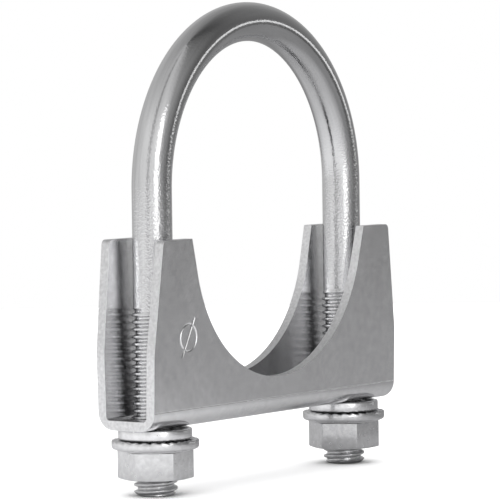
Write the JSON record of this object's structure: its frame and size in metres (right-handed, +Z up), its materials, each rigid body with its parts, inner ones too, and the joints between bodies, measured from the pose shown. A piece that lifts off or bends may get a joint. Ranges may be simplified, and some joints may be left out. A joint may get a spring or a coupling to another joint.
{
  "type": "u-bolt pipe clamp",
  "caption": "Saddle-type U-bolt clamp for a round pipe: a bent threaded rod through a stamped channel saddle with a half-round cradle, drawn up by flange nuts on spring washers.",
  "frame": {"origin": "midway between the two legs, on the plane of the rod's two ends, which is the lowest plane", "axes": "+Z up along the legs towards the bend; X from leg to leg, along the saddle; +Y along the clamped pipe"},
  "size_m": [0.0934, 0.0188, 0.1061],
  "materials": {
    "plated_rod": "bright zinc plate on drawn steel rod, glossy with fine grain",
    "plated_sheet": "zinc plate on stamped steel sheet, satin",
    "plated_washer": "bright zinc plate, satin",
    "plated_nut": "bright zinc plate on forged nut, slightly grainy"
  },
  "bodies": {
    "u_bolt": {"u_bolt": "plated_rod"},
    "saddle": {"saddle": "plated_sheet"},
    "washer_left": {"washer_left": "plated_washer"},
    "washer_right": {"washer_right": "plated_washer"},
    "nut_left": {"nut_left": "plated_nut"},
    "nut_right": {"nut_right": "plated_nut"}
  },
  "joints": [
    {"name": "washer_left_travel", "type": "slide", "parent": "u_bolt", "child": "washer_left", "axis": [0, 0, 1], "range_m": [-0.0033, 0.0239]},
    {"name": "nut_left_spin", "type": "hinge", "parent": "washer_left", "child": "nut_left", "pos_m": [-0.0365, 0, 0.00785], "axis": [0, 0, 1], "range_deg": [-730, 5405]},
    {"name": "washer_right_travel", "type": "slide", "parent": "u_bolt", "child": "washer_right", "axis": [0, 0, 1], "range_m": [-0.0033, 0.0239]},
    {"name": "nut_right_spin", "type": "hinge", "parent": "washer_right", "child": "nut_right", "pos_m": [0.0365, 0, 0.00785], "axis": [0, 0, 1], "range_deg": [-730, 5405]},
    {"name": "saddle_travel", "type": "slide", "parent": "u_bolt", "child": "saddle", "axis": [0, 0, 1], "range_m": [-0.0032, 0.0238]}
  ],
  "couplings": [
    {"joint": "washer_left_travel", "follows": "saddle_travel", "ratio": 1},
    {"joint": "washer_right_travel", "follows": "saddle_travel", "ratio": 1},
    {"joint": "nut_left_spin", "follows": "saddle_travel", "rad_per_m": 3957.9},
    {"joint": "nut_right_spin", "follows": "saddle_travel", "rad_per_m": 3957.9}
  ]
}
